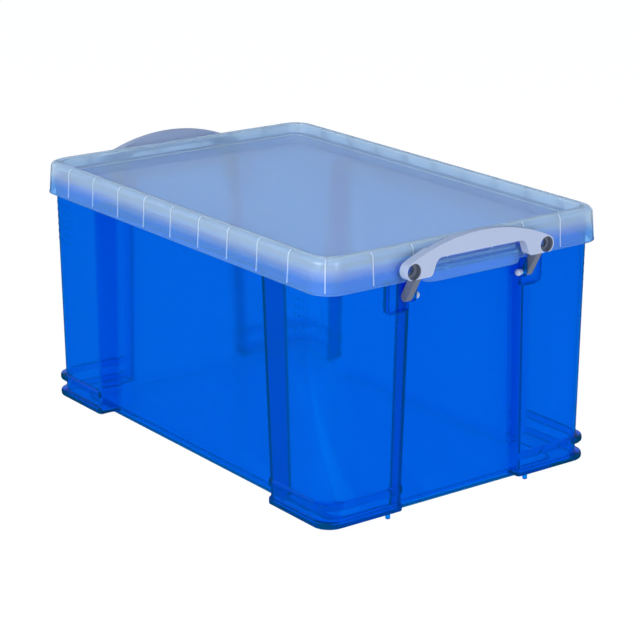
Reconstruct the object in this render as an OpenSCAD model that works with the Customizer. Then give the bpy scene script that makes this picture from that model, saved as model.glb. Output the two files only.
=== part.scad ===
// Deep stacking storage box: a ribbed tub, a lift-off lid and two swinging clip handles.
// Millimetres, +Z up. The long axis is X, and the origin is the middle of the flat underside.

/* [Tub] */
// Length of the tub over its corner columns
column_span_x = 578; // [572:1:579]
// Width of the tub over its corner columns
column_span_y = 387; // [380:1:388]
// Length of the tub over the recessed panels of its short ends
end_panel_span = 538; // [534:1:544]
// Width of the tub over the recessed panels of its long sides
side_panel_span = 326; // [316:1:332]
// Height of the tub's rim
rim_height = 296.7; // [290:0.1:296.7]
// Wall thickness of the tub
wall = 2.6; // [2:0.1:3]
// Height of the corner feet above the flat underside
foot_step = 7.5; // [5:0.5:10]
// How far the foot ridges stand proud of the corner columns
ridge_depth = 1.5; // [1:0.5:3]

/* [Lid] */
// Length of the lid over its skirt
lid_length = 589; // [588:0.1:590]
// Width of the lid over its skirt
lid_width = 400; // [396:1:404]
// Height of the lid's top edge when it is shut
lid_top = 313.6; // [312:0.1:316]
// Wall thickness of the lid
lid_wall = 2.4; // [2:0.1:2.6]
// How far the sunken panel lies below the lid's top edge
recess_depth = 14.1; // [13:0.1:14.1]

/* [Handles] */
// Distance over the front faces of the two handles
handle_span = 627; // [626:1:640]
// Height of a shut handle's crown
crown_height = 321.5; // [318:0.5:326]
// Distance between the two round ends of a handle
boss_pitch = 188; // [186:1:192]
// Radius of a handle's round ends
boss_radius = 10.5; // [10:0.1:11]
// Radius of a handle's pivot pegs
peg_radius = 3; // [2.5:0.1:3.2]
// Radial play between a peg and its hole
peg_play = 0.08; // [0.04:0.01:0.1]

/* [Hidden] */
$fn = 48;
past = 1; // how far a cutter runs past the face that it opens

// tub
column_start = [178, 79]; // inboard ends of a corner column, along X and along Y
column_radius = 28;
floor_thickness = 3;
floor_inset = 3; // the underside is this much shorter than the end panels, to nest in a lid
floor_radius = 20;
ridge_height = 9;
ridge_levels = [foot_step, foot_step + 21];
band_height = 20.7; // straight band that carries the rim
ledge_level = rim_height - band_height;
lip_span = [582, 391.4];
lip_drop = 17;
lip_radius = 29;
nub_size = [4, 4];
nub_place = [281, 101];
pocket_back = 283.5; // x of the back wall of the pockets that the handle arms swing in
pocket_span = [80.4, 108]; // inner and outer y of a pocket
pocket_bottom = 240;

// lid
skirt_bottom = lid_top - 39.6;
skirt_radius = 26;
top_edge_inset = 2.5;
shoulder_drop = 8;
rim_inner = [552, 370]; // the sunken panel's well at the lid's top edge
rim_inner_radius = 18;
well_wall = 2.2;
panel_top = lid_top - recess_depth;
panel_thickness = 2.5;
ledge_rise = 2;
ledge_width = 9;
rib_thickness = 1.6;
side_rib_pitch = 57;
end_rib_places = [-132, -77, -32, 32, 77, 132];
tab_reach = 303;
tab_half_width = 77;
tab_radius = 25;
tab_drop = 3;
tab_front_height = 16;
tab_setback = 5;
tab_top = 291;
gusset = [3, 8, 4.5];
gusset_place = 29;

// handles
handle_face = handle_span / 2;
leg_thickness = 12;
grip_thickness = 9.5;
boss_level = 290;
boss_y = boss_pitch / 2;
leg_bottom = 281;
grip_bottom = 300.4;
gap_half_width = 62;
gap_foot = 7;
gap_radius = 6;
counterbore = [9, 7]; // radius and depth
cored_radius = 5.2;
pivot = [291, 256]; // x and z of the pivot axis
arm_top = [306.5, 283];
arm_radius = 5;
arm_span = [82, 90]; // inner and outer y of an arm
ball_radius = 4;
ball_y = 73;
lug_span = [77.4, 80.4]; // inner and outer y of a lug
lug_reach = 6.5;
lug_top = skirt_bottom - 1;
// the crown is one arc that touches both round ends
crown_rise = crown_height - boss_level;
crown_gap = crown_rise - boss_radius;
crown_radius = (pow(boss_y, 2) + pow(crown_rise, 2) - pow(boss_radius, 2)) / (2 * crown_gap);

// Rectangle with rounded corners, given as half sizes.
module round_rect(half, radius) {
    square([2 * half[0], 2 * (half[1] - radius)], center = true);
    square([2 * (half[0] - radius), 2 * half[1]], center = true);
    for (sx = [-1, 1], sy = [-1, 1])
        translate([sx * (half[0] - radius), sy * (half[1] - radius)]) circle(radius);
}

// Runs an outline drawn in Y and Z along X.
module along_x(length) {
    rotate([90, 0, 90]) linear_extrude(length) children();
}

// Runs an outline drawn in X and Z along Y.
module along_y(start, end) {
    translate([0, end, 0]) rotate([90, 0, 0]) linear_extrude(end - start) children();
}

// Repeats what is drawn for one corner at all four.
module four_corners() {
    for (sx = [0, 1], sy = [0, 1]) mirror([sx, 0, 0]) mirror([0, sy, 0]) children();
}

// Plan of one corner column, shrunk all round by inset.
module column_plan(inset) {
    x = column_span_x / 2 - inset;
    y = column_span_y / 2 - inset;
    start = column_start + [inset, inset];
    radius = column_radius - inset;
    polygon([
        [start[0], 0],
        [end_panel_span / 2 - inset, 0],
        [end_panel_span / 2 - inset, start[1]],
        [x, start[1]],
        [x, y - radius],
        [x - radius, y],
        [start[0], y]
    ]);
    translate([x - radius, y - radius]) circle(radius);
}

// Plan of the rectangle between the recessed panels.
module core_plan(inset) {
    square([end_panel_span - 2 * inset, side_panel_span - 2 * inset], center = true);
}

// Plan of the band below the rim.
module band_plan(inset) {
    round_rect([column_span_x / 2 - inset, column_span_y / 2 - inset], column_radius - inset);
}

// Pocket in a column's end face for a handle arm, grown all round by grow.
module arm_pocket(grow) {
    translate([pocket_back - grow, pocket_span[0] - grow, pocket_bottom - grow])
        cube([column_span_x / 2 - pocket_back + past + grow,
              pocket_span[1] - pocket_span[0] + 2 * grow,
              ledge_level - pocket_bottom + 2 * grow]);
}

module foot_ridge() {
    x = column_span_x / 2 + ridge_depth;
    y = column_span_y / 2 + ridge_depth;
    radius = column_radius + ridge_depth;
    linear_extrude(ridge_height) {
        polygon([
            column_start,
            [x, column_start[1]],
            [x, y - radius],
            [x - radius, y],
            [column_start[0], y]
        ]);
        translate([x - radius, y - radius]) circle(radius);
    }
}

// Thickened top of the rim, which keys the lid.
module rim_lip() {
    translate([0, 0, rim_height - lip_drop]) linear_extrude(lip_drop) difference() {
        round_rect(lip_span / 2, lip_radius);
        band_plan(wall / 2);
    }
}

module tub_outside() {
    linear_extrude(foot_step + past)
        round_rect([end_panel_span / 2 - floor_inset, side_panel_span / 2], floor_radius);
    translate([0, 0, foot_step]) linear_extrude(rim_height - foot_step) core_plan(0);
    four_corners() difference() {
        translate([0, 0, foot_step]) linear_extrude(rim_height - foot_step) column_plan(0);
        arm_pocket(0);
    }
    four_corners() for (level = ridge_levels) translate([0, 0, level]) foot_ridge();
    translate([0, 0, ledge_level]) linear_extrude(band_height) band_plan(0);
}

module tub_inside() {
    translate([0, 0, floor_thickness]) linear_extrude(rim_height)
        round_rect([end_panel_span / 2 - floor_inset - wall, side_panel_span / 2 - wall],
                   floor_radius - wall);
    translate([0, 0, foot_step + wall]) linear_extrude(rim_height) core_plan(wall);
    four_corners() difference() {
        translate([0, 0, foot_step + wall]) linear_extrude(rim_height) column_plan(wall);
        arm_pocket(wall);
    }
    translate([0, 0, ledge_level + wall]) linear_extrude(rim_height) band_plan(wall);
}

// Ear that carries one handle peg.
module lug() {
    foot = end_panel_span / 2 - wall / 2;
    along_y(lug_span[0], lug_span[1]) {
        translate(pivot) circle(lug_reach);
        translate([foot, pivot[1] - lug_reach]) square([pivot[0] - foot, lug_top - pivot[1] + lug_reach]);
        translate(pivot) square([lug_reach, lug_top - pivot[1] - 4]);
    }
}

module tub() {
    color("royalblue") {
        difference() {
            union() {
                difference() {
                    tub_outside();
                    tub_inside();
                }
                four_corners() lug();
            }
            four_corners() along_y(lug_span[0] - past, pocket_span[0] + past)
                translate(pivot) circle(peg_radius + peg_play);
        }
        rim_lip();
        four_corners() translate([nub_place[0], nub_place[1], 0])
            translate([-nub_size[0] / 2, -nub_size[1] / 2, 0])
                cube([nub_size[0], nub_size[1], foot_step + past]);
    }
}

module tab_plan(inset) {
    round_rect([tab_reach - inset, tab_half_width - inset], tab_radius - inset);
}

module lid_outside() {
    half = [lid_length / 2, lid_width / 2];
    shoulder = [half[0] - top_edge_inset / 2, half[1] - top_edge_inset / 2];
    top = [half[0] - top_edge_inset, half[1] - top_edge_inset];
    shoulder_level = lid_top - shoulder_drop;
    translate([0, 0, skirt_bottom]) linear_extrude(shoulder_level - skirt_bottom)
        round_rect(half, skirt_radius);
    translate([0, 0, shoulder_level]) linear_extrude(shoulder_drop * 0.7)
        round_rect(shoulder, skirt_radius);
    translate([0, 0, shoulder_level]) linear_extrude(shoulder_drop) round_rect(top, skirt_radius);
    translate([0, 0, skirt_bottom - tab_drop]) linear_extrude(tab_front_height + tab_drop - 3)
        tab_plan(0);
    translate([0, 0, skirt_bottom - tab_drop]) linear_extrude(tab_top - skirt_bottom + tab_drop)
        tab_plan(tab_setback);
}

// Hollow under the rim, which drops over the tub.
module lid_channel() {
    half = [lid_length / 2 - lid_wall, lid_width / 2 - lid_wall];
    channel_top = lid_top - lid_wall;
    below = skirt_bottom - tab_drop - past;
    translate([0, 0, below]) linear_extrude(lid_top - shoulder_drop - below)
        round_rect(half, skirt_radius - lid_wall);
    translate([0, 0, skirt_bottom]) linear_extrude(channel_top - skirt_bottom)
        round_rect([half[0] - top_edge_inset, half[1] - top_edge_inset], skirt_radius - lid_wall);
    translate([0, 0, below])
        linear_extrude(skirt_bottom + tab_front_height - 3 - lid_wall - below) tab_plan(lid_wall);
    translate([0, 0, below]) linear_extrude(tab_top - lid_wall - below)
        tab_plan(tab_setback + lid_wall);
}

// Sunken panel with its upright walls and the narrow step along their foot.
module lid_well() {
    half = rim_inner / 2;
    outer = [half[0] + well_wall, half[1] + well_wall];
    step = [half[0] - ledge_width, half[1] - ledge_width];
    bottom = panel_top - panel_thickness;
    difference() {
        translate([0, 0, bottom]) linear_extrude(lid_top - bottom)
            round_rect(outer, rim_inner_radius + well_wall);
        translate([0, 0, panel_top]) linear_extrude(recess_depth + past)
            round_rect(step, rim_inner_radius - ledge_width / 2);
        translate([0, 0, panel_top + ledge_rise]) linear_extrude(recess_depth + past)
            round_rect(half, rim_inner_radius);
    }
}

// Upright webs that tie the skirt to the well.
module lid_webs() {
    bottom = panel_top - panel_thickness;
    height = lid_top - lid_wall - bottom;
    inner = [rim_inner[0] / 2, rim_inner[1] / 2];
    reach = [lid_length / 2 - lid_wall / 2 - inner[0], lid_width / 2 - lid_wall / 2 - inner[1]];
    inboard = top_edge_inset;
    for (side = [0, 1], k = [-4:4])
        mirror([0, side, 0])
            translate([k * side_rib_pitch - rib_thickness / 2, inner[1] + well_wall / 2, bottom])
                cube([rib_thickness, reach[1] - well_wall / 2 - inboard, height]);
    for (side = [0, 1], y = end_rib_places)
        mirror([side, 0, 0])
            translate([inner[0] + well_wall / 2, y - rib_thickness / 2, bottom])
                cube([reach[0] - well_wall / 2 - inboard, rib_thickness, height]);
}

module lid() {
    color("aliceblue", 0.6) {
        difference() {
            lid_outside();
            lid_channel();
            translate([0, 0, panel_top]) linear_extrude(recess_depth + past)
                round_rect(rim_inner / 2, rim_inner_radius);
        }
        lid_well();
        lid_webs();
        for (side = [0, 1], y = [-1, 1])
            mirror([side, 0, 0])
                translate([tab_reach - tab_setback - 1, y * gusset_place - gusset[1] / 2,
                           skirt_bottom + tab_front_height - 4])
                    cube(gusset);
    }
}

// Outline of a handle, drawn in Y and Z.
module handle_outline() {
    difference() {
        union() {
            intersection() {
                translate([0, crown_height - crown_radius]) circle(crown_radius, $fn = 180);
                translate([-boss_y, leg_bottom]) square([boss_pitch, crown_height]);
            }
            for (s = [-1, 1]) translate([s * boss_y, boss_level]) circle(boss_radius);
        }
        polygon([
            [-gap_half_width - gap_foot, leg_bottom - past],
            [gap_half_width + gap_foot, leg_bottom - past],
            [gap_half_width, grip_bottom - gap_radius],
            [-gap_half_width, grip_bottom - gap_radius]
        ]);
        translate([0, grip_bottom - gap_radius - past])
            square([2 * (gap_half_width - gap_radius), 2 * (gap_radius + past)], center = true);
        for (s = [-1, 1])
            translate([s * (gap_half_width - gap_radius), grip_bottom - gap_radius]) circle(gap_radius);
    }
}

// Arm that drops from a handle's round end to the pivot, drawn in X and Z.
module arm_outline() {
    run = arm_top - pivot;
    side = [run[1], -run[0]] * arm_radius / norm(run);
    translate(pivot) circle(arm_radius);
    translate(arm_top) circle(arm_radius);
    polygon([pivot + side, arm_top + side, arm_top - side, pivot - side]);
}

module handle() {
    color("lightsteelblue") {
        difference() {
            union() {
                translate([handle_face - grip_thickness, 0, 0]) along_x(grip_thickness)
                    handle_outline();
                translate([handle_face - leg_thickness, 0, 0]) along_x(leg_thickness)
                    difference() {
                        handle_outline();
                        translate([0, boss_level]) square([2 * gap_half_width, 200], center = true);
                    }
                for (side = [0, 1]) mirror([0, side, 0]) along_y(arm_span[0], arm_span[1])
                    arm_outline();
            }
            for (s = [-1, 1]) translate([handle_face, s * boss_y, boss_level]) rotate([0, -90, 0]) {
                translate([0, 0, -past]) cylinder(h = counterbore[1] + past, r = counterbore[0]);
                cylinder(h = 2 * leg_thickness, r = cored_radius);
            }
        }
        for (s = [-1, 1]) translate([pivot[0], 0, pivot[1]]) {
            translate([0, s * (ball_y + arm_span[0] + 2) / 2, 0]) rotate([90, 0, 0])
                cylinder(h = arm_span[0] + 2 - ball_y, r = peg_radius, center = true);
            translate([0, s * ball_y, 0]) sphere(ball_radius);
        }
    }
}

module front_handle() {
    handle();
}

module back_handle() {
    mirror([1, 0, 0]) handle();
}

tub();
lid();
front_handle();
back_handle();
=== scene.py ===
import math

import bmesh
import bpy
from mathutils import Matrix, Vector


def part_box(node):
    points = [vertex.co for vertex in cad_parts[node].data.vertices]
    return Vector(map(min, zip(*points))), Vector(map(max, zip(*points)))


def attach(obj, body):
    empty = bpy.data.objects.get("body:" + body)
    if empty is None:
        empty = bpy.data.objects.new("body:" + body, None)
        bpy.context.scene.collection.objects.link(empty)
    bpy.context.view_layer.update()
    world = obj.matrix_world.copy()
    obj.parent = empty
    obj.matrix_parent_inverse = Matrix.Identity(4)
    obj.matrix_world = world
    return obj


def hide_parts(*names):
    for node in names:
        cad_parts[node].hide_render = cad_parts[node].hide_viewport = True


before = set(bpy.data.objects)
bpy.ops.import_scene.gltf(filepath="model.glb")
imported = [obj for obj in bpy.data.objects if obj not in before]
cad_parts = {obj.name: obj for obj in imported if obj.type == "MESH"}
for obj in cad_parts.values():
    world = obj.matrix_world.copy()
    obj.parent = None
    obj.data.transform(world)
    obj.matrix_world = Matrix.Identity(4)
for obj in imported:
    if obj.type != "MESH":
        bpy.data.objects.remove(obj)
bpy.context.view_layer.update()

# Everything below is drawn in millimetres and turned into metres when a mesh is made.
tubHigh, lidHigh, handleHigh = [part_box(name)[1] * 1000 for name in ("tub", "lid", "front_handle")]


def mix(a, b, share):
    return a + (b - a) * share


def makeObject(name, points, faces):
    mesh = bpy.data.meshes.new(name)
    mesh.from_pydata([Vector(p) / 1000 for p in points], [], faces)
    mesh.validate()
    piece = bpy.data.objects.new(name, mesh)
    bpy.context.scene.collection.objects.link(piece)
    return piece


def loftRings(name, rings):  # closed shell from rings of equal length
    count = len(rings[0])
    points = [p for ring in rings for p in ring]
    faces = []
    for r in range(len(rings) - 1):
        low, high = r * count, (r + 1) * count
        for k in range(count):
            n = (k + 1) % count
            faces.append((low + k, low + n, high + n, high + k))
    faces.append(tuple(reversed(range(count))))
    faces.append(tuple(range((len(rings) - 1) * count, len(rings) * count)))
    return makeObject(name, points, faces)


def roundedCorner(before, corner, after, cut, steps):  # arc that starts and ends cut away from the corner
    before, corner, after = Vector(before), Vector(corner), Vector(after)
    toBefore = (before - corner).normalized()
    toAfter = (after - corner).normalized()
    weight = math.sin(toBefore.angle(toAfter) / 2)
    start, end = corner + toBefore * cut, corner + toAfter * cut
    arc = []
    for k in range(steps + 1):
        t = k / steps
        a, b, c = (1 - t) ** 2, 2 * t * (1 - t) * weight, t ** 2
        arc.append((start * a + corner * b + end * c) / (a + b + c))
    return arc


def fourQuarters(quarter):  # (x, y, tag) from the +X axis to the +Y axis, both ends included
    ring = list(quarter[:-1])
    ring += [(-x, y, tag) for x, y, tag in reversed(quarter[1:])]
    ring += [(-x, -y, tag) for x, y, tag in quarter[:-1]]
    ring += [(x, -y, tag) for x, y, tag in reversed(quarter[1:])]
    return ring


def unite(piece, extras, operation="UNION"):
    for extra in extras:
        change = piece.modifiers.new("cut", "BOOLEAN")
        change.operation = operation
        change.solver = "MANIFOLD"
        change.object = extra
        applyModifiers(piece)
        bpy.data.objects.remove(extra)


def applyModifiers(piece):
    bpy.context.view_layer.update()
    evaluated = piece.evaluated_get(bpy.context.evaluated_depsgraph_get())
    mesh = bpy.data.meshes.new_from_object(evaluated)
    piece.modifiers.clear()
    piece.data = mesh


def smooth(piece, degrees=32):
    piece.data.shade_smooth()
    piece.data.set_sharp_from_angle(angle=math.radians(degrees))
    normals = piece.modifiers.new("normals", "WEIGHTED_NORMAL")
    normals.keep_sharp = True
    normals.weight = 50
    applyModifiers(piece)


def extrudeOutline(name, outline, start, end, axis):  # outline lies in the other two axes
    def place(u, v, w):
        return {"x": (w, u, v), "y": (u, w, v), "z": (u, v, w)}[axis]
    count = len(outline)
    points = [place(u, v, w) for w in (start, end) for u, v in outline]
    faces = [tuple(range(count)), tuple(range(2 * count - 1, count - 1, -1))]
    for k in range(count):
        n = (k + 1) % count
        faces.append((k, k + count, n + count, n))
    piece = makeObject(name, points, faces)
    fixNormals(piece)
    return piece


def fixNormals(piece):
    shape = bmesh.new()
    shape.from_mesh(piece.data)
    bmesh.ops.recalc_face_normals(shape, faces=shape.faces)
    shape.to_mesh(piece.data)
    shape.free()


def joinMeshes(name, pieces):
    points, faces = [], []
    for piece in pieces:
        start = len(points)
        points += [v.co * 1000 for v in piece.data.vertices]
        faces += [tuple(start + i for i in f.vertices) for f in piece.data.polygons]
        bpy.data.objects.remove(piece)
    return makeObject(name, points, faces)


tubSize = {
    "wall": 2.6,
    "stepExtra": 2.4,  # the step walls are this much thicker than wall
    "columnX": (285.5, 289.8),  # at the foot, under the rim
    "columnY": (189.5, 195.0),
    "cornerRadius": (27, 35),
    "panelX": (268.0, 269.0),
    "panelY": (162.6, 163.6),
    "stepX": (182, 173.5),
    "stepY": (86, 79),
    "rimX": 289.3,
    "rimGap": 1.5,  # room for the lid's leaning skirt on the long sides
    "rimRadius": 31,
    "rimStep": 0.8,
    "rimDrop": 17,
    "edge": 3.0,
    "footStep": 7.5,
    "floor": 3.0,
    "floorRadius": 20,
    "ledge": 276.0,
    "ridgeX": 288.6,
    "ridgeY": 192.8,
    "ridgeRadius": 20,
    "lugSpan": (77.4, 80.4),
    "lugReach": 6.5,
    "lugTop": 272.5,
    "pocketBack": 283.5,
    "pocketSpan": (80.4, 108),
    "pocketBottom": 240,
    "pocketRadius": 5,
    "nub": 4,
    "nubPlace": (281, 101),
    "dot": 1.5,
    "dotDepth": 0.4,  # share of its radius that a dot keeps across the wall
    "dotPitch": 9.2,
    "dotsAcross": 6,
    "dotsEnd": (98, 207),  # first dot from the middle and lowest row
    "dotsSide": (236, 216),
}


def tubPlan(columnX, columnY, radius, panelX, panelY, stepX, stepY, straight, edge, root):
    spread = 5 * straight
    panelX = mix(panelX, columnX, straight)
    panelY = mix(panelY, columnY, straight)
    corners = [
        (panelX, 0),
        (panelX, stepY - spread),
        (columnX, stepY + spread),
        (columnX, columnY),
        (stepX + spread, columnY),
        (stepX - spread, panelY),
        (0, panelY),
    ]
    cuts = [0, root, edge, radius, edge, root, 0]
    steps = [0, 4, 4, 12, 4, 4, 0]
    tags = [0, 0, 1, 1, 1, 0, 0]
    between = [2, 1, 4, 4, 1, 3]
    quarter = [(*corners[0], 0)]
    for k in range(1, 7):
        last = Vector(quarter[-1][:2])
        if k < 6:
            arc = roundedCorner(corners[k - 1], corners[k], corners[k + 1], cuts[k], steps[k])
        else:
            arc = [Vector(corners[6])]
        count = between[k - 1]
        for j in range(count):
            spot = last.lerp(arc[0], (j + 1) / (count + 1))
            tag = mix(tags[k - 1], tags[k], (j + 1) / (count + 1)) if count > 1 else 0
            quarter.append((spot.x, spot.y, tag))
        quarter += [(p.x, p.y, tags[k]) for p in arc]
    return fourQuarters(quarter)


def tubRing(level, panelLevel=None, grow=0.0, inset=0.0, straight=0.0, plan=None):
    # grow pushes the columns out, inset shrinks the plan all round
    size = tubSize
    share = min(max(level / size["ledge"], 0), 1)
    value = {}
    for name in ("columnX", "columnY", "cornerRadius", "panelX", "panelY", "stepX", "stepY"):
        value[name] = mix(*size[name], share)
    if plan:
        value.update(plan)
    edge = size["edge"]
    if grow:
        value["columnX"] = mix(value["columnX"], size["ridgeX"], grow)
        value["columnY"] = mix(value["columnY"], size["ridgeY"], grow)
        value["cornerRadius"] = mix(value["cornerRadius"], size["ridgeRadius"], grow)
    extra = size["stepExtra"] if inset > 0 and straight == 0 else 0
    ring = tubPlan(
        value["columnX"] - inset,
        value["columnY"] - inset,
        max(value["cornerRadius"] - inset, 1),
        value["panelX"] - inset,
        value["panelY"] - inset,
        value["stepX"] + inset + extra,
        value["stepY"] + inset + extra,
        straight,
        max(edge - inset, 0.8) if inset > 0 else edge,
        edge + inset if inset > 0 else edge,
    )
    if panelLevel is None:
        panelLevel = level
    return [(x, y, mix(panelLevel, level, min(tag, 1))) for x, y, tag in ring]


def buildTub():
    size = tubSize
    wall = size["wall"]
    rim = tubHigh.z
    low = size["footStep"]
    ledge = size["ledge"]
    block = {
        "columnX": size["panelX"][0] - 1.2,
        "columnY": size["panelY"][0] - 0.8,
        "cornerRadius": size["floorRadius"],
    }
    rimY = tubHigh.y - size["rimGap"]
    step = size["rimStep"]
    band = {"columnX": size["rimX"] - step, "columnY": rimY - step, "cornerRadius": size["rimRadius"] - step}
    lip = {"columnX": size["rimX"], "columnY": rimY, "cornerRadius": size["rimRadius"]}
    rings = []

    def blockRing(level, inset):
        rings.append(tubRing(level, inset=inset, straight=1, plan=block))

    # inside, from the floor upwards
    floor = size["floor"]
    blockRing(floor, wall + 3)
    blockRing(floor + 0.5, wall + 1)
    blockRing(floor + 2, wall)
    rings.append(tubRing(low + wall - 0.2, low + wall - 2, inset=wall, straight=1, plan=block))
    rings.append(tubRing(low + wall, low + wall - 1, inset=wall + 2.4))
    rings.append(tubRing(low + wall + 0.7, inset=wall + 0.8))
    rings.append(tubRing(low + wall + 2.4, inset=wall))
    for level in (40, 80, 120, 160, 200, 240):
        rings.append(tubRing(level, inset=wall))
    top = ledge + wall
    rings.append(tubRing(top - 1.2, inset=wall))
    rings.append(tubRing(top - 0.3, inset=wall, straight=0.1))
    rings.append(tubRing(top, inset=wall, straight=0.9, plan=band))
    rings.append(tubRing(top + 1.2, inset=wall, straight=1, plan=band))
    rings.append(tubRing(rim - 1, inset=wall, straight=1, plan=band))
    rings.append(tubRing(rim - 0.2, inset=wall - 0.3, straight=1, plan=band))
    rings.append(tubRing(rim, inset=wall - 1, straight=1, plan=band))
    # over the rim and down its thicker top
    thick = rim - size["rimDrop"]
    for level, inset in ((rim, 1.0), (rim - 0.3, 0.3), (rim - 1, 0), (thick + 1, 0), (thick + 0.3, 0.3)):
        rings.append(tubRing(level, inset=inset, straight=1, plan=lip))
    rings.append(tubRing(thick - 0.3, inset=-0.2, straight=1, plan=band))
    rings.append(tubRing(thick - 1, straight=1, plan=band))
    rings.append(tubRing(ledge + 1, straight=1, plan=band))
    rings.append(tubRing(ledge + 0.3, straight=0.95, plan=band))
    rings.append(tubRing(ledge - 0.1, straight=0.06))
    rings.append(tubRing(ledge - 0.9))
    for level in (240, 200, 160, 120, 80, 50):
        rings.append(tubRing(level))
    # two rounded ridges round each foot
    for bottom in (low + 21, low):
        for rise, grow in (
            (10.4, 0), (9.4, 0.25), (8.9, 0.7), (8.2, 0.95), (7, 1.05), (4.5, 1.1),
            (2, 1.05), (0.9, 0.9), (0.35, 0.6),
        ):
            rings.append(tubRing(bottom + rise, grow=grow))
        if bottom > low:
            rings.append(tubRing(bottom - 0.4, grow=0.15))
            rings.append(tubRing(bottom - 1.5, grow=0))
    rings.append(tubRing(low, low + 0.2, grow=0.1))
    rings.append(tubRing(low, low - 1, straight=1, plan=block))
    blockRing(1.5, 0)
    blockRing(0.4, 0.5)
    blockRing(0, 1.6)
    tub = loftRings("tub_shell", rings)
    fixNormals(tub)
    print("tub fittings")
    addTubFittings(tub)
    return tub


def roundedBox(name, low, high, radius, start, end):  # lies along X, with its lower corners rounded
    outline = [(high[0], high[1]), (low[0], high[1])]
    outline += [tuple(p) for p in roundedCorner((low[0], high[1]), low, (high[0], low[1]), radius, 6)]
    outline += [tuple(p) for p in roundedCorner(low, (high[0], low[1]), high, radius, 6)]
    return extrudeOutline(name, outline, start, end, "x")


def fourTimes(make):  # one copy for each corner of the box
    pieces = []
    for sx in (1, -1):
        for sy in (1, -1):
            piece = make()
            for v in piece.data.vertices:
                v.co.x *= sx
                v.co.y *= sy
            fixNormals(piece)
            pieces.append(piece)
    return pieces


def tubFace(x, level):
    # where the column's long face is at x, and how far it has turned round the corner
    size = tubSize
    share = level / size["ledge"]
    faceX, faceY = mix(*size["columnX"], share), mix(*size["columnY"], share)
    radius = mix(*size["cornerRadius"], share)
    over = max(x - (faceX - radius), 0)
    return faceX, faceY - radius + math.sqrt(radius ** 2 - over ** 2), math.asin(over / radius)


def dotShape():
    size = tubSize
    shape = bmesh.new()
    count = size["dotsAcross"]
    pitch = size["dotPitch"]
    for i in range(count):
        for j in range(count):
            y, level = size["dotsEnd"][0] + pitch * i, size["dotsEnd"][1] + pitch * j
            if not (y < size["pocketSpan"][1] + 4 and level > size["pocketBottom"] - 4):
                addDot(shape, (tubFace(0, level)[0], y, level), 0)
            x, level = size["dotsSide"][0] + pitch * i * 0.85, size["dotsSide"][1] + pitch * j
            faceX, faceY, tilt = tubFace(x, level)
            addDot(shape, (x, faceY, level), math.pi / 2 - tilt)
    mesh = bpy.data.meshes.new("dots")
    shape.to_mesh(mesh)
    shape.free()
    dots = bpy.data.objects.new("dots", mesh)
    bpy.context.scene.collection.objects.link(dots)
    return dots


def addDot(shape, place, turn):
    flatten = Matrix.Diagonal((tubSize["dotDepth"], 1, 1, 1))
    matrix = Matrix.Translation(Vector(place) / 1000) @ Matrix.Rotation(turn, 4, "Z") @ flatten
    bmesh.ops.create_icosphere(shape, subdivisions=2, radius=tubSize["dot"] / 1000, matrix=matrix)


def addTubFittings(tub):
    size = tubSize
    wall = size["wall"]
    pivotX, pivotZ = handleSize["pivot"]
    low, high = size["pocketSpan"]
    bottom, back = size["pocketBottom"], size["pocketBack"]
    ledge = size["ledge"]
    foot = size["panelX"][1] - wall / 2
    reach = size["lugReach"]
    unite(tub, [joinMeshes("walls", fourTimes(lambda: roundedBox(
        "wall", (low - 0.7, bottom - wall), (high + wall, ledge + 1.6), size["pocketRadius"] + wall,
        back - wall, size["columnX"][1] - 2)))])
    unite(tub, [joinMeshes("cuts", fourTimes(lambda: roundedBox(
        "pocket", (low, bottom), (high, ledge - 0.7), size["pocketRadius"],
        back, size["columnX"][1] + 6)))], "DIFFERENCE")
    lug = [(foot, pivotZ - reach)] + circlePoints((pivotX, pivotZ), reach, -90, 0, 10)
    lugTop = size["lugTop"]
    lug += [tuple(p) for p in roundedCorner(lug[-1], (pivotX + reach, lugTop), (foot, lugTop), 4, 5)]
    lug += [(foot, lugTop)]
    unite(tub, [joinMeshes("lugs", fourTimes(lambda: extrudeOutline("lug", lug, *size["lugSpan"], "y")))])
    bore = circlePoints((pivotX, pivotZ), handleSize["peg"] + 0.08, 0, 360, 32)[:-1]
    unite(tub, [joinMeshes("bores", fourTimes(lambda: extrudeOutline(
        "bore", bore, size["lugSpan"][0] - 1, size["lugSpan"][1] + 1, "y")))], "DIFFERENCE")
    (x, y), half = size["nubPlace"], size["nub"] / 2
    nub = [(x - half, y - half), (x + half, y - half), (x + half, y + half), (x - half, y + half)]
    nubTop = size["footStep"] + 1
    unite(tub, [joinMeshes("nubs", fourTimes(lambda: extrudeOutline("nub", nub, 0.3, nubTop, "z")))])
    unite(tub, [joinMeshes("dots", fourTimes(dotShape))])


lidSize = {
    "halfX": 294.0,
    "lip": 0.5,  # the bottom edge stands this far out
    "radius": 27,
    "skirt": 39.6,
    "topInset": 2.6,
    "wall": 2.4,
    "wellX": 278,
    "wellY": 185,
    "wellRadius": 20,
    "wellWall": 2.2,
    "recess": 14.1,
    "panel": 2.5,
    "stepWidth": 9,
    "stepRise": 2,
    "shoulder": 7,
    "tabHalf": 77,
    "tabRadius": 25,
    "tabLedge": 287,
    "tabSetback": 5,
    "tabTop": 291.3,
    "gusset": 29,
    "sidePitch": 57.2,
    "endRibs": (31.8, 78.5, 133),
    "rib": 1.3,
    "webProud": 0.12,
    "cornerWebStart": 9.8,
}


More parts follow.
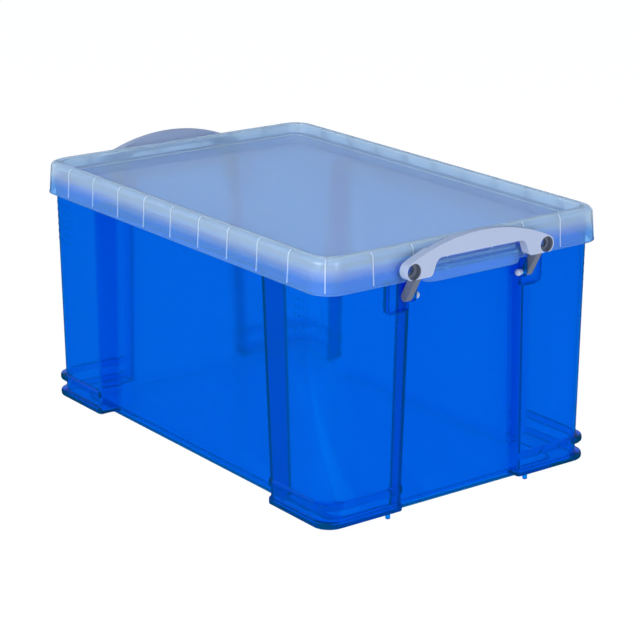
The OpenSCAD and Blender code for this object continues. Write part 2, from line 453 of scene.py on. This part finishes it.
def lidPlan(halfX, halfY, radius, tabReach=0.0):
    size = lidSize
    centre = size["tabHalf"] - size["tabRadius"]
    ys = [0, centre / 3, centre * 2 / 3, centre]
    ys += [centre + size["tabRadius"] * math.sin(math.radians(a)) for a in (10, 20, 30, 40, 48, 56, 66, 78)]
    ys += [80, 100, 125]
    quarter = []
    for y in ys:
        x = halfX
        if tabReach > halfX:
            over = max(y - centre, 0)
            reach = 0.0
            if over < size["tabRadius"]:
                reach = tabReach - size["tabRadius"] + math.sqrt(size["tabRadius"] ** 2 - over ** 2)
            x = max(halfX, reach)
        quarter.append((x, y, x - halfX))
    arc = roundedCorner((halfX, 0), (halfX, halfY), (0, halfY), radius, 14)
    quarter += [(p.x, p.y, 0) for p in arc]
    for share in (0.2, 0.4, 0.6, 0.8, 1):
        quarter.append((mix(halfX - radius, 0, share), halfY, 0))
    return fourQuarters(quarter)


def lidRing(halfX, halfY, radius, level, tabReach=0.0, drop=0.0):
    ring = lidPlan(halfX, halfY, radius, tabReach)
    return [(x, y, level - drop * min(tag / 4, 1)) for x, y, tag in ring]


def buildLid():
    size = lidSize
    top = lidHigh.z
    bottom = top - size["skirt"]
    panelTop = top - size["recess"]
    wellX, wellY, wellR = size["wellX"], size["wellY"], size["wellRadius"]
    halfY = lidHigh.y - size["lip"]
    rings = []

    def well(outset, level):
        rings.append(lidRing(wellX + outset, wellY + outset, max(wellR + outset, 2), level))

    def skirt(inset, level, reach=0.0, drop=0.0):
        # the skirt leans in towards the top
        lean = size["topInset"] * (level - bottom) / (top - bottom)
        out = inset + lean
        radius = size["radius"] - out * 0.5
        rings.append(lidRing(size["halfX"] - out, halfY - out, radius, level, reach, drop))

    step = size["stepWidth"]
    stepTop = panelTop + size["stepRise"]
    well(-step - 1.0, panelTop)
    well(-step - 0.3, panelTop + 0.25)
    well(-step, panelTop + 0.9)
    well(-step + 0.3, stepTop - 0.4)
    well(-step + 1.1, stepTop)
    well(-1.6, stepTop)
    well(-0.5, stepTop + 0.4)
    well(0, stepTop + 1.6)
    well(0.5, top - 2.2)
    well(1.0, top - 0.7)
    well(2.2, top - 0.05)
    well(3.4, top)
    shoulder = size["shoulder"]
    for degrees in (90, 75, 60, 45, 30, 15, 0):
        angle = math.radians(degrees)
        extra = 0 if degrees < 90 else 0.3
        skirt(shoulder * (1 - math.cos(angle)) + extra, top - shoulder * (1 - math.sin(angle)))
    reach = lidHigh.x
    ledge, tabTop, setback = size["tabLedge"], size["tabTop"], size["tabSetback"]
    skirt(0, 297)
    for level, out in (
        (tabTop + 0.3, 0), (tabTop, reach - setback - 2), (tabTop - 0.5, reach - setback - 0.6),
        (tabTop - 1.4, reach - setback), (ledge + 0.8, reach - setback),
        (ledge + 0.2, reach - setback + 0.6), (ledge, reach - 1.0),
        (ledge - 0.4, reach - 0.3), (ledge - 1.2, reach), (282, reach),
    ):
        skirt(0, level, out)
    skirt(0, bottom + 2.6, reach, 2.4)
    skirt(-size["lip"], bottom + 2.0, reach, 2.7)
    skirt(-size["lip"], bottom + 0.6, reach, 3)
    skirt(0, bottom, reach, 3)
    wall = size["wall"]
    skirt(wall - 0.6, bottom, reach - wall + 0.6, 3)
    skirt(wall, bottom + 0.6, reach - wall, 3)
    skirt(wall, bottom + 2.6, reach - wall, 2.4)
    for level, out in (
        (282, reach - wall), (ledge - wall - 1, reach - wall), (ledge - wall, reach - wall - 1),
        (ledge - wall + 0.5, reach - setback - wall + 0.5), (tabTop - wall - 1, reach - setback - wall),
        (tabTop - wall, reach - setback - wall - 1.5), (tabTop - wall + 0.5, 0), (297, 0),
    ):
        skirt(wall, level, out)
    inner = shoulder - wall
    for degrees in (0, 30, 60, 90):
        angle = math.radians(degrees)
        skirt(wall + inner * (1 - math.cos(angle)), top - wall - inner * (1 - math.sin(angle)))
    outer = size["wellWall"]
    well(outer + 2.5, top - wall)
    well(outer + 0.8, top - wall - 0.8)
    well(outer, top - wall - 2.5)
    under = panelTop - size["panel"]
    well(outer, under + 1.5)
    well(outer - 0.5, under + 0.4)
    well(outer - 1.6, under)
    lid = loftRings("lid_shell", rings)
    fixNormals(lid)
    print("lid webs")
    unite(lid, [joinMeshes("webs", lidWebs(bottom, top))])
    unite(lid, [joinMeshes("gussets", tabGussets())])
    return lid


def tabGussets():
    size = lidSize
    low, top = size["tabLedge"] - 0.8, size["tabTop"] - 0.3
    inside, outside = lidHigh.x - size["tabSetback"] - 0.6, lidHigh.x - 1.6
    pieces = []
    for s in (-1, 1):
        outline = [(s * inside, low), (s * outside, low), (s * inside, top)]
        for middle in (-size["gusset"], size["gusset"]):
            pieces.append(extrudeOutline("gusset", outline, middle - 2, middle + 2, "y"))
    return pieces


def webOutline(skirtFace, wellFace, bottom, top):
    # seen from its side: out to just proud of the skirt, over the shoulder and in to the well
    size = lidSize
    shoulder, wall, proud = size["shoulder"], size["wall"], size["webProud"]
    rim = tubHigh.z + 0.8
    lean = size["topInset"] / (top - bottom)

    def skirtAt(level, depth):
        return skirtFace - depth - lean * (level - bottom)

    outline = [(skirtAt(bottom + 2.9, -proud), bottom + 2.9)]
    for degrees in (0, 15, 30, 45, 60):
        angle = math.radians(degrees)
        level = top - shoulder * (1 - math.sin(angle)) + proud * math.sin(angle)
        outline.append((skirtAt(level, shoulder * (1 - math.cos(angle)) - proud * math.cos(angle)), level))
    upper, inboard = top - wall + 0.8, wellFace - 1
    outline += [(skirtFace - shoulder - 1, upper), (inboard, upper), (inboard, rim + 5)]
    inner = skirtAt(rim, wall + 3)
    # the notch leaves room for the tub's rim
    outline += [tuple(p) for p in roundedCorner(outline[-1], (inner, rim + 3), (inner, rim), 2, 4)]
    outline += [(skirtAt(rim, wall + 0.2), rim), (skirtAt(bottom + 2.9, wall + 0.2), bottom + 2.9)]
    return outline


def lidWebs(bottom, top):
    size = lidSize
    half = size["rib"] / 2
    webs = []
    halfY = lidHigh.y - size["lip"]
    side = webOutline(halfY, size["wellY"] + size["wellWall"], bottom, top)
    end = webOutline(size["halfX"], size["wellX"] + size["wellWall"], bottom, top)
    for s in (-1, 1):
        for k in range(-4, 5):
            x = k * size["sidePitch"]
            webs.append(extrudeOutline("web", [(s * y, z) for y, z in side], x - half, x + half, "x"))
        for y in size["endRibs"]:
            for t in (-1, 1):
                outline = [(s * x, z) for x, z in end]
                webs.append(extrudeOutline("web", outline, t * y - half, t * y + half, "y"))
    # one more across each corner
    centre = Vector((size["halfX"] - size["radius"], halfY - size["radius"], 0)) / 1000
    across = webOutline(size["radius"], size["cornerWebStart"], bottom, top)

    def cornerWeb():
        web = extrudeOutline("web", across, -half, half, "y")
        web.data.transform(Matrix.Translation(centre) @ Matrix.Rotation(math.pi / 4, 4, "Z"))
        return web

    return webs + fourTimes(cornerWeb)


def onWeb(corners):  # true for faces no wider than a web
    size = lidSize
    half = size["rib"] / 2 + 0.02
    xs, ys = [abs(p.x) for p in corners], [abs(p.y) for p in corners]
    lean = math.sqrt(0.5)
    offset = size["halfX"] - lidHigh.y + size["lip"]
    if min(ys) > size["wellY"] and max(xs) < size["halfX"] - size["radius"]:
        middle = round(xs[0] / size["sidePitch"]) * size["sidePitch"]
        return all(abs(x - middle) < half for x in xs)
    if min(xs) > size["wellX"] and max(ys) < size["endRibs"][-1] + 2:
        return any(all(abs(y - middle) < half for y in ys) for middle in size["endRibs"])
    return all(abs(x - y - offset) * lean < half for x, y in zip(xs, ys))


handleSize = {
    "leg": 12,
    "grip": 9.5,
    "bossY": 94,
    "bossZ": 290,
    "bossRadius": 10.5,
    "legBottom": 281,
    "legTop": 312,
    "gripBottom": 300.4,
    "gapHalf": 62,
    "gapFoot": 7,
    "gapRadius": 7,
    "counterbore": (9, 7),
    "cored": 5.2,
    "pivot": (291, 256),
    "armTop": (306.5, 283),
    "armRadius": 5,
    "armSpan": (82, 90),
    "peg": 3,
    "ball": 4,
    "ballY": 73,
    "bevel": 0.9,
}


def circlePoints(centre, radius, start, end, steps):
    spots = []
    for k in range(steps + 1):
        angle = math.radians(mix(start, end, k / steps))
        spots.append((centre[0] + radius * math.cos(angle), centre[1] + radius * math.sin(angle)))
    return spots


def handleOutline():  # the half at +Y
    size = handleSize
    crown = handleHigh.z
    rise = crown - size["bossZ"]
    bossY, bossR = size["bossY"], size["bossRadius"]
    radius = (bossY ** 2 + rise ** 2 - bossR ** 2) / (2 * (rise - bossR))
    centre = crown - radius
    tangent = math.degrees(math.atan2(size["bossZ"] - centre, bossY))
    half = circlePoints((0, centre), radius, 90, tangent, 20)
    half += circlePoints((bossY, size["bossZ"]), bossR, tangent, -58, 12)[1:]
    foot = size["gapHalf"] + size["gapFoot"]
    innerTop = (size["gapHalf"], size["gripBottom"])
    legInner = (foot, size["legBottom"])
    half += [tuple(p) for p in roundedCorner(half[-1], (bossY - 6, size["legBottom"]), legInner, 1.5, 3)]
    half += [tuple(p) for p in roundedCorner((bossY - 6, size["legBottom"]), legInner, innerTop, 4, 5)]
    middle = (0, size["gripBottom"])
    half += [tuple(p) for p in roundedCorner(legInner, innerTop, middle, size["gapRadius"], 8)]
    return half


def mirrorOutline(half):  # half starts on the centre plane, and that point is used once
    other = [(-u, v) for u, v in reversed(half)]
    return other[:-1] + half


def buildHandle(name, side):
    size = handleSize
    face = handleHigh.x
    half = handleOutline()
    body = extrudeOutline(name, mirrorOutline(half), face - size["grip"], face, "x")
    extras = []
    for s in (-1, 1):
        leg = [(s * u, v) for u, v in half if u > size["gapHalf"] - 1 and v < size["legTop"]]
        leg.append((s * (size["gapHalf"] - 0.5), size["gripBottom"] - 3))
        extras.append(extrudeOutline("leg", leg, face - size["leg"], face - 2, "x"))
    for s in (-1, 1):
        pivot, armTop = Vector(size["pivot"]), Vector(size["armTop"])
        run = (armTop - pivot).normalized()
        lean = math.degrees(math.atan2(run.y, run.x))
        stadium = circlePoints(armTop, size["armRadius"], lean - 90, lean + 90, 12)
        stadium += circlePoints(pivot, size["armRadius"], lean + 90, lean + 270, 12)
        near, far = sorted((s * size["armSpan"][0], s * size["armSpan"][1]))
        extras.append(extrudeOutline("arm", stadium, near, far, "y"))
        near, far = sorted((s * size["ballY"], s * (size["armSpan"][0] + 2)))
        peg = circlePoints(pivot, size["peg"], 0, 360, 24)[:-1]
        extras.append(extrudeOutline("peg", peg, near, far, "y"))
    unite(body, extras)
    cutters = []
    for s in (-1, 1):
        centre = (s * size["bossY"], size["bossZ"])
        radius, depth = size["counterbore"]
        bore = circlePoints(centre, radius, 0, 360, 48)[:-1]
        core = circlePoints(centre, size["cored"], 0, 360, 40)[:-1]
        cutters.append(extrudeOutline("bore", bore, face - depth, face + 3, "x"))
        cutters.append(extrudeOutline("core", core, face - 30, face + 4, "x"))
    unite(body, cutters, "DIFFERENCE")
    bevel = body.modifiers.new("edges", "BEVEL")
    bevel.width = size["bevel"] / 1000
    bevel.segments = 3
    bevel.limit_method = "ANGLE"
    bevel.angle_limit = math.radians(38)
    bevel.use_clamp_overlap = True
    applyModifiers(body)
    balls = []
    for s in (-1, 1):
        shape = bmesh.new()
        bmesh.ops.create_uvsphere(shape, u_segments=24, v_segments=16, radius=size["ball"] / 1000)
        mesh = bpy.data.meshes.new("ball")
        place = Vector((size["pivot"][0], s * size["ballY"], size["pivot"][1])) / 1000
        bmesh.ops.translate(shape, verts=shape.verts, vec=place)
        shape.to_mesh(mesh)
        shape.free()
        ball = bpy.data.objects.new("ball", mesh)
        bpy.context.scene.collection.objects.link(ball)
        balls.append(ball)
    unite(body, balls)
    if side < 0:
        for v in body.data.vertices:
            v.co.x = -v.co.x
        body.data.flip_normals()
    return body


def newMaterial(name):
    material = bpy.data.materials.new(name)
    material.use_nodes = True
    nodes = material.node_tree.nodes
    return material, nodes, material.node_tree.links, nodes["Principled BSDF"], nodes["Material Output"]


def noiseInto(nodes, links, scale, low, high, socket):
    place = nodes.new("ShaderNodeTexCoord")
    noise = nodes.new("ShaderNodeTexNoise")
    noise.inputs["Scale"].default_value = scale
    noise.inputs["Detail"].default_value = 4
    spread = nodes.new("ShaderNodeMapRange")
    spread.inputs["To Min"].default_value = low
    spread.inputs["To Max"].default_value = high
    links.new(place.outputs["Object"], noise.inputs["Vector"])
    links.new(noise.outputs["Fac"], spread.inputs["Value"])
    links.new(spread.outputs["Result"], socket)


def tubPlastic():
    material, nodes, links, shader, output = newMaterial("blue_clear_plastic")
    shader.inputs["Base Color"].default_value = (0.001, 0.5, 1.0, 1)
    shader.inputs["Transmission Weight"].default_value = 0.9
    shader.inputs["IOR"].default_value = 1.33
    shader.inputs["Specular IOR Level"].default_value = 0.2
    shader.inputs["Specular Tint"].default_value = (0.05, 0.3, 1, 1)
    noiseInto(nodes, links, 60, 0.06, 0.11, shader.inputs["Roughness"])
    absorb = nodes.new("ShaderNodeVolumeAbsorption")
    absorb.inputs["Color"].default_value = (0, 0.66, 0.935, 1)
    absorb.inputs["Density"].default_value = 480
    links.new(absorb.outputs["Volume"], output.inputs["Volume"])
    return material


def lidPlastic(name, lowColour, highColour, clear):
    # painted bluer low down, which stands in for the blue tub showing through the skirt
    material, nodes, links, shader, output = newMaterial(name)
    place = nodes.new("ShaderNodeTexCoord")
    split = nodes.new("ShaderNodeSeparateXYZ")
    height = nodes.new("ShaderNodeMapRange")
    blend = nodes.new("ShaderNodeMix")
    blend.data_type = "RGBA"
    height.inputs["From Min"].default_value = (tubHigh.z - 11) / 1000
    height.inputs["From Max"].default_value = (tubHigh.z + 3) / 1000
    blend.inputs["A"].default_value = (*lowColour, 1)
    blend.inputs["B"].default_value = (*highColour, 1)
    links.new(place.outputs["Object"], split.inputs["Vector"])
    links.new(split.outputs["Z"], height.inputs["Value"])
    links.new(height.outputs["Result"], blend.inputs["Factor"])
    links.new(blend.outputs["Result"], shader.inputs["Base Color"])
    shader.inputs["Transmission Weight"].default_value = clear
    shader.inputs["IOR"].default_value = 1.45
    noiseInto(nodes, links, 80, 0.06, 0.13, shader.inputs["Roughness"])
    return material


def handlePlastic(name, colour):
    material, nodes, links, shader, output = newMaterial(name)
    shader.inputs["Base Color"].default_value = (*colour, 1)
    noiseInto(nodes, links, 250, 0.32, 0.45, shader.inputs["Roughness"])
    return material


def floorPaint():
    material, nodes, links, shader, output = newMaterial("pale_floor")
    shader.inputs["Base Color"].default_value = (0.1, 0.1, 0.1, 1)
    shader.inputs["Emission Color"].default_value = (1, 1, 1, 1)
    shader.inputs["Emission Strength"].default_value = 0.97
    shader.inputs["Specular IOR Level"].default_value = 0
    noiseInto(nodes, links, 5, 0.8, 0.95, shader.inputs["Roughness"])
    return material


def dress(piece, materials, second, body, node):
    # second(corners) picks the faces of the second material
    piece.data.materials.clear()
    for material in materials:
        piece.data.materials.append(material)
    for face in piece.data.polygons:
        corners = [piece.data.vertices[i].co * 1000 for i in face.vertices]
        face.material_index = int(second(corners)) if second else 0
    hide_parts(node)
    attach(piece, body)


print("tub")
tub = buildTub()
smooth(tub)
dress(tub, [tubPlastic()], None, "tub", "tub")

print("lid")
lid = buildLid()
smooth(lid)
lidPlastics = [
    lidPlastic("clear_lid_plastic", (0.24, 0.56, 1.0), (0.72, 0.87, 1.0), 0.7),
    # painted highlight: the webs get a whiter, less clear copy of the lid plastic, standing in for the light
    # lines that the clear webs show
    lidPlastic("painted_highlight_web_plastic", (0.66, 0.8, 1.0), (0.86, 0.93, 1.0), 0.35),
]
dress(lid, lidPlastics, onWeb, "lid", "lid")


# painted shade: these faces get the dark grey, standing in for the shade on the arms, in the hollows and on
# the backs of the round ends of one grey moulding
def paintedShadePart(corners):  # arms, and the hollows and backs of the round ends
    size = handleSize
    x, y, z = sum(corners, Vector()) / len(corners)
    if z < size["legBottom"] - 0.5 and abs(y) > size["armSpan"][0] - 1.5:
        return True
    fromBoss = math.hypot(abs(y) - size["bossY"], z - size["bossZ"])
    return fromBoss < size["counterbore"][0] + 0.3 and abs(x) < handleHigh.x - 0.9


print("handles")
greys = [
    handlePlastic("grey_satin_plastic", (0.48, 0.54, 0.70)),
    # painted shade: a darker copy of the handle grey, for the arms and the hollows of the handles
    handlePlastic("painted_shade_grey_plastic", (0.17, 0.19, 0.24)),
]
for name, side in (("front_handle", 1), ("back_handle", -1)):
    handle = buildHandle(name + "_moulding", side)
    smooth(handle)
    dress(handle, greys, paintedShadePart, name, name)

print("studio")
studio = {
    "floor": 12000,
    "backdrop": (0.33, 0.43, 0.6),
    "ceiling": (0.13, 0.15, 0.19),
    "topPower": 8,
    "sidePower": 18,
    "leftPower": 38,
    "lampColour": (0.88, 0.94, 1.0),
    "cameraPlace": (2.0215, -1.4844, 0.9241),
    "cameraAim": (0.0, 0.01412, 0.13843),
    "focalLength": 121.89,
}
half = studio["floor"]
corners = [(-half, -half, 0), (half, -half, 0), (half, half, 0), (-half, half, 0)]
floor = makeObject("floor", corners, [(0, 1, 2, 3)])
floor.data.materials.append(floorPaint())
floor.visible_glossy = False


def buildWorld():
    # white where it is seen directly or through the plastic
    # as a light it is a pale backdrop under a dim ceiling
    world = bpy.data.worlds.new("studio")
    world.use_nodes = True
    nodes, links = world.node_tree.nodes, world.node_tree.links
    place = nodes.new("ShaderNodeTexCoord")
    split = nodes.new("ShaderNodeSeparateXYZ")
    ramp = nodes.new("ShaderNodeValToRGB")
    room = nodes["Background"]
    plain = nodes.new("ShaderNodeBackground")
    path = nodes.new("ShaderNodeLightPath")
    seen = nodes.new("ShaderNodeMath")
    choose = nodes.new("ShaderNodeMixShader")
    seen.operation = "MAXIMUM"
    back, ceiling = studio["backdrop"], studio["ceiling"]
    stops = ramp.color_ramp.elements
    stops[0].position, stops[0].color = 0.0, (0, 0, 0, 1)
    stops[1].position, stops[1].color = 0.06, (*back, 1)
    stops.new(0.45).color = (*back, 1)
    stops.new(0.75).color = (*ceiling, 1)
    links.new(place.outputs["Generated"], split.inputs["Vector"])
    links.new(split.outputs["Z"], ramp.inputs["Fac"])
    links.new(ramp.outputs["Color"], room.inputs["Color"])
    links.new(path.outputs["Is Camera Ray"], seen.inputs[0])
    links.new(path.outputs["Is Transmission Ray"], seen.inputs[1])
    links.new(seen.outputs["Value"], choose.inputs["Fac"])
    links.new(room.outputs["Background"], choose.inputs[1])
    links.new(plain.outputs["Background"], choose.inputs[2])
    links.new(choose.outputs["Shader"], nodes["World Output"].inputs["Surface"])
    plain.inputs["Color"].default_value = (1, 1, 1, 1)
    bpy.context.scene.world = world


buildWorld()


def areaLight(name, place, aim, width, height, power):
    light = bpy.data.lights.new(name, "AREA")
    light.shape = "RECTANGLE"
    light.size = width
    light.size_y = height
    light.energy = power
    lamp = bpy.data.objects.new(name, light)
    light.color = studio["lampColour"]
    lamp.location = place
    lamp.rotation_euler = (Vector(aim) - Vector(place)).to_track_quat("-Z", "Y").to_euler()
    bpy.context.scene.collection.objects.link(lamp)
    return lamp


areaLight("top_softbox", (0.3, -0.4, 2.4), (0, 0, 0.2), 2.2, 2.2, studio["topPower"])
areaLight("left_softbox", (0.2, -2.6, 1.1), (0, 0, 0.2), 1.6, 1.2, studio["leftPower"])
areaLight("side_softbox", (2.4, -0.3, 0.9), (0, 0, 0.2), 0.5, 1.6, studio["sidePower"])

lens = bpy.data.cameras.new("camera")
lens.lens = studio["focalLength"]
lens.sensor_width = 36
lens.clip_end = 50
camera = bpy.data.objects.new("camera", lens)
camera.location = studio["cameraPlace"]
aim = Vector(studio["cameraAim"])
camera.rotation_euler = (aim - camera.location).to_track_quat("-Z", "Y").to_euler()
bpy.context.scene.collection.objects.link(camera)
bpy.context.scene.camera = camera
bpy.context.scene.view_settings.view_transform = "Standard"
